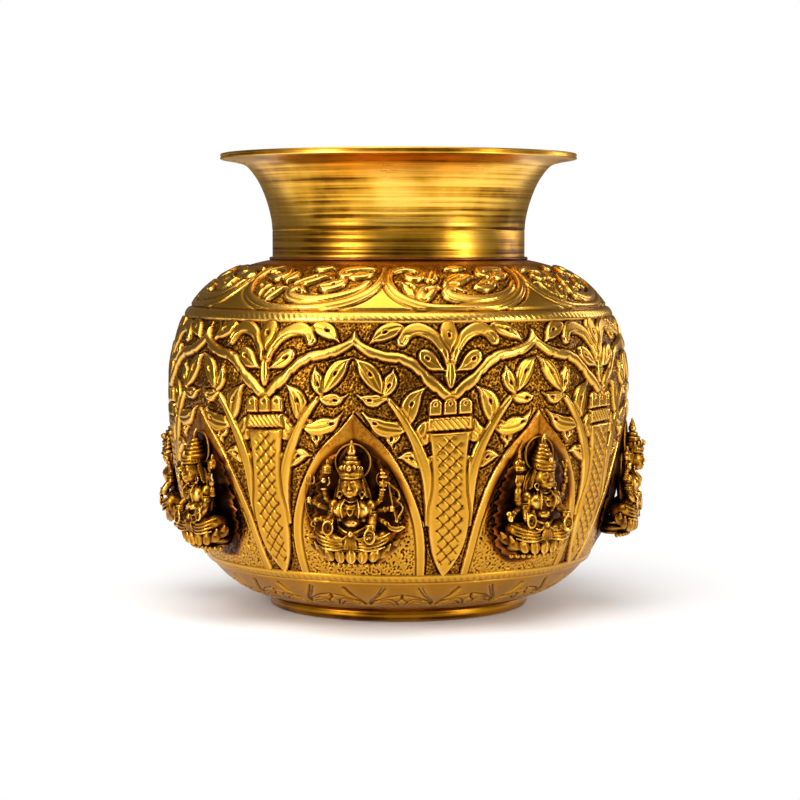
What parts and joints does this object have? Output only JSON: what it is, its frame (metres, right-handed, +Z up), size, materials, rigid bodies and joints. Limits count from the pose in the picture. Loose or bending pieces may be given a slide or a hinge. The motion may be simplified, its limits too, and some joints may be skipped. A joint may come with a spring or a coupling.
{
  "type": "kalash",
  "caption": "Round brass ritual pot with a flared collar, a turned foot and seated figure castings set in niches between raised pillars and arches.",
  "frame": {"origin": "on the table, on the pot's axis, at the underside of the foot ring", "axes": "+Z up along the pot's axis, -Y the pictured front, +X to its right"},
  "size_m": [0.1742, 0.1742, 0.16],
  "materials": {
    "chased_brass": "chased and punched relief, polished high spots, dark patina in the hollows",
    "turned_brass": "turned and brushed, fine lines round the axis, brown blotches",
    "cast_brass": "lost-wax casting, rubbed bright on the high spots, dark in the hollows",
    "copper_braze": "copper-tinted solder, dull"
  },
  "bodies": {
    "root": {"pot_body": "chased_brass", "neck_collar": "turned_brass", "foot_ring": "turned_brass", "neck_braze": "copper_braze", "foot_braze": "copper_braze", "figure_1": "cast_brass", "figure_2": "cast_brass", "figure_3": "cast_brass", "figure_4": "cast_brass", "figure_5": "cast_brass", "figure_6": "cast_brass", "figure_7": "cast_brass", "figure_8": "cast_brass", "solder_bed_1": "copper_braze", "solder_bed_2": "copper_braze", "solder_bed_3": "copper_braze", "solder_bed_4": "copper_braze", "solder_bed_5": "copper_braze", "solder_bed_6": "copper_braze", "solder_bed_7": "copper_braze", "solder_bed_8": "copper_braze"}
  },
  "joints": []
}
